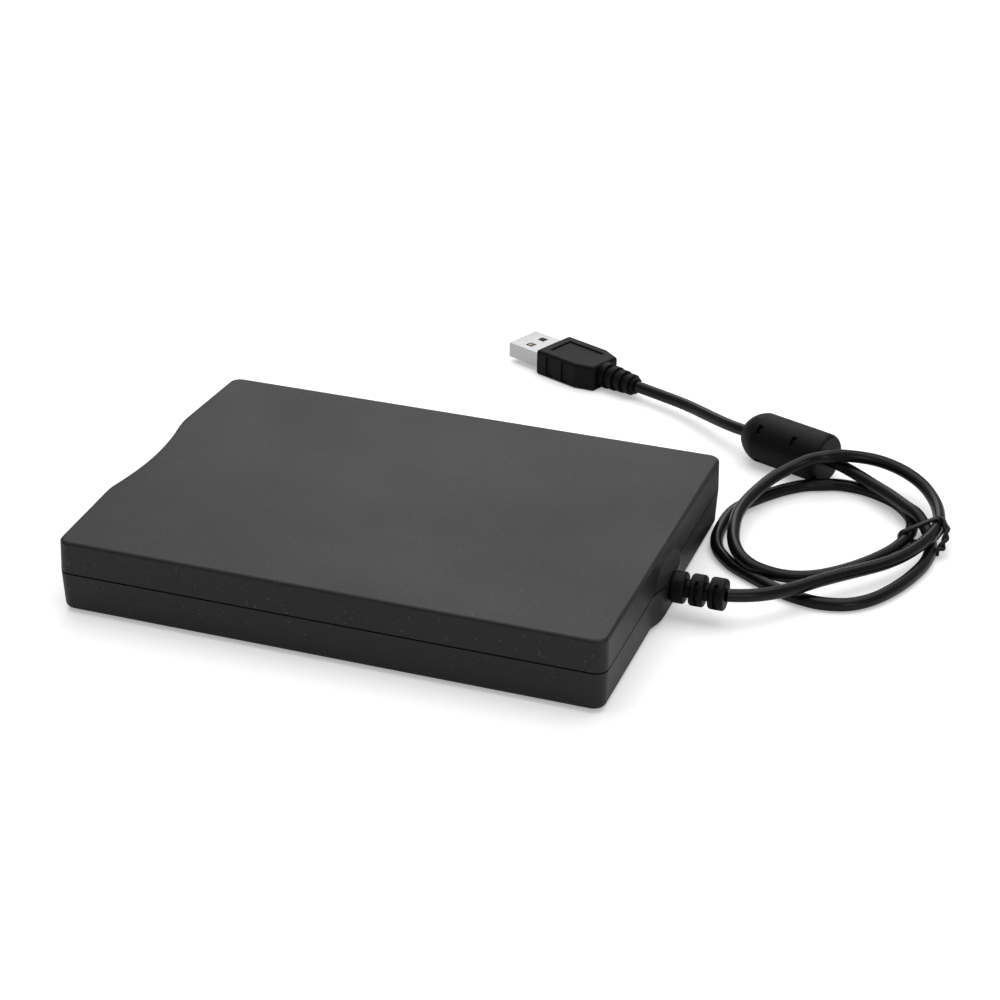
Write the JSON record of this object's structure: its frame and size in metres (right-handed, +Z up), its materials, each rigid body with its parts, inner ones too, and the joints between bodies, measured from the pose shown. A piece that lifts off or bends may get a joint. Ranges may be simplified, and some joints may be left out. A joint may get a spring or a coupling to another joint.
{
  "type": "external floppy disk drive",
  "caption": "Slim black external 3.5 inch floppy disk drive with its coiled captive lead, ferrite bead and flat data plug, and the full drive mechanism inside.",
  "frame": {"origin": "bottom centre of the case, on the plane of its feet", "axes": "+Z up; -Y towards the disk slot; +Y towards the lead; +X across, towards the eject button"},
  "size_m": [0.1961, 0.2013, 0.0198],
  "materials": {
    "case_black": "fine matt grain",
    "bezel_black": "fine matt grain",
    "button_grey": "satin",
    "flap_black": "satin",
    "foot_rubber": "matt",
    "screw_black": "blackened",
    "screw_steel": "plain",
    "sheet_steel": "zinc plated",
    "cast_steel": "zinc plated",
    "bright_steel": "ground",
    "spring_steel": "plain",
    "ceramic_black": "ferrite",
    "magnet_black": "bonded magnet",
    "copper_wire": "enamelled",
    "bronze": "sintered",
    "gold": "plated",
    "board_green": "solder mask",
    "chip_black": "moulded",
    "solder_tin": "tinned",
    "aluminium_can": "drawn",
    "white_plastic": "satin",
    "carriage_black": "satin",
    "ribbon_amber": "film",
    "lamp_green": "clear",
    "cord_black": "soft vinyl",
    "mould_black": "soft vinyl",
    "plug_steel": "nickel plated"
  },
  "bodies": {
    "case": {"access_lamp": "lamp_green", "bottom_cover": "case_black", "capacitors": "aluminium_can", "case_screws": "screw_black", "chassis_screws": "screw_steel", "chip_legs": "solder_tin", "controller_chip": "chip_black", "cord_coil": "cord_black", "cord_lead": "cord_black", "cord_socket": "white_plastic", "cord_tail": "cord_black", "crystal": "aluminium_can", "disk_posts": "white_plastic", "drive_chassis": "cast_steel", "eject_spring_left": "spring_steel", "eject_spring_right": "spring_steel", "ferrite_bead": "mould_black", "flat_ribbon": "ribbon_amber", "front_bezel": "bezel_black", "guide_rod": "bright_steel", "interface_board": "board_green", "interface_chip": "chip_black", "lamp_lens": "lamp_green", "main_board": "board_green", "mechanism_cover": "sheet_steel", "plug_contacts": "gold", "plug_grip": "mould_black", "plug_shell": "plug_steel", "plug_tongue": "white_plastic", "rubber_feet": "foot_rubber", "slider_guides": "screw_steel", "spindle_bearing": "bronze", "spindle_board": "board_green", "spindle_stator": "sheet_steel", "stator_coils": "copper_wire", "stepper_motor": "cast_steel", "strain_relief": "mould_black", "switch_housings": "chip_black", "top_cover": "case_black", "track_zero_sensor": "chip_black"},
    "button_and_slider": {"eject_button": "button_grey", "eject_slider": "sheet_steel"},
    "holder": {"disk_holder": "sheet_steel", "lever_spring": "spring_steel"},
    "lever": {"shutter_lever": "sheet_steel"},
    "flap": {"slot_flap": "flap_black"},
    "rotor": {"spindle_rotor": "cast_steel", "rotor_magnet": "magnet_black", "spindle_hub": "bright_steel"},
    "screw": {"lead_screw": "bright_steel"},
    "carriage": {"head_carriage": "carriage_black", "lower_head": "ceramic_black", "arm_hinge_pin": "bright_steel", "arm_spring": "spring_steel"},
    "head_arm": {"upper_head_arm": "carriage_black", "upper_head": "ceramic_black"},
    "disk_switch": {"disk_plunger": "white_plastic"},
    "protect_switch": {"protect_plunger": "white_plastic"},
    "density_switch": {"density_plunger": "white_plastic"}
  },
  "joints": [
    {"name": "eject", "type": "slide", "parent": "case", "child": "button_and_slider", "axis": [0, -1, 0], "range_m": [0, 0.0045], "deforming": ["eject_spring_left", "eject_spring_right"]},
    {"name": "holder_drop", "type": "slide", "parent": "case", "child": "holder", "axis": [0, 0, -1], "range_m": [0, 0.0022]},
    {"name": "shutter_lever_swing", "type": "hinge", "parent": "holder", "child": "lever", "pos_m": [0.041, 0.034, 0.0158], "axis": [0, 0, -1], "range_deg": [0, 41], "stiffness_Nm_per_rad": 0.002, "springref_deg": -5.73},
    {"name": "flap_swing", "type": "hinge", "parent": "case", "child": "flap", "pos_m": [0, -0.0657, 0.0161], "axis": [1, 0, 0], "range_deg": [0, 85], "stiffness_Nm_per_rad": 0.0005, "springref_deg": -11.46},
    {"name": "spindle_turn", "type": "hinge", "parent": "case", "child": "rotor", "pos_m": [0, -0.015, 0.008], "axis": [0, 0, 1], "continuous": true},
    {"name": "lead_screw_turn", "type": "hinge", "parent": "case", "child": "screw", "pos_m": [-0.014, 0.038, 0.0104], "axis": [0, 1, 0], "range_deg": [0, 1420.8]},
    {"name": "head_travel", "type": "slide", "parent": "case", "child": "carriage", "axis": [0, -1, 0], "range_m": [0, 0.0148]},
    {"name": "arm_swing", "type": "hinge", "parent": "carriage", "child": "head_arm", "pos_m": [0, 0.0535, 0.0112], "axis": [1, 0, 0], "range_deg": [0, 8]},
    {"name": "disk_switch_press", "type": "slide", "parent": "case", "child": "disk_switch", "axis": [0, 0, -1], "range_m": [0, 0.0008], "stiffness_N_per_m": 60, "springref_m": -0.0005},
    {"name": "protect_switch_press", "type": "slide", "parent": "case", "child": "protect_switch", "axis": [0, 0, -1], "range_m": [0, 0.0008], "stiffness_N_per_m": 60, "springref_m": -0.0005},
    {"name": "density_switch_press", "type": "slide", "parent": "case", "child": "density_switch", "axis": [0, 0, -1], "range_m": [0, 0.0008], "stiffness_N_per_m": 60, "springref_m": -0.0005}
  ],
  "couplings": [
    {"joint": "holder_drop", "follows": "eject", "ratio": 0.48889},
    {"joint": "arm_swing", "follows": "eject", "rad_per_m": 31.028},
    {"joint": "lead_screw_turn", "follows": "head_travel", "rad_per_m": 1675.5}
  ]
}
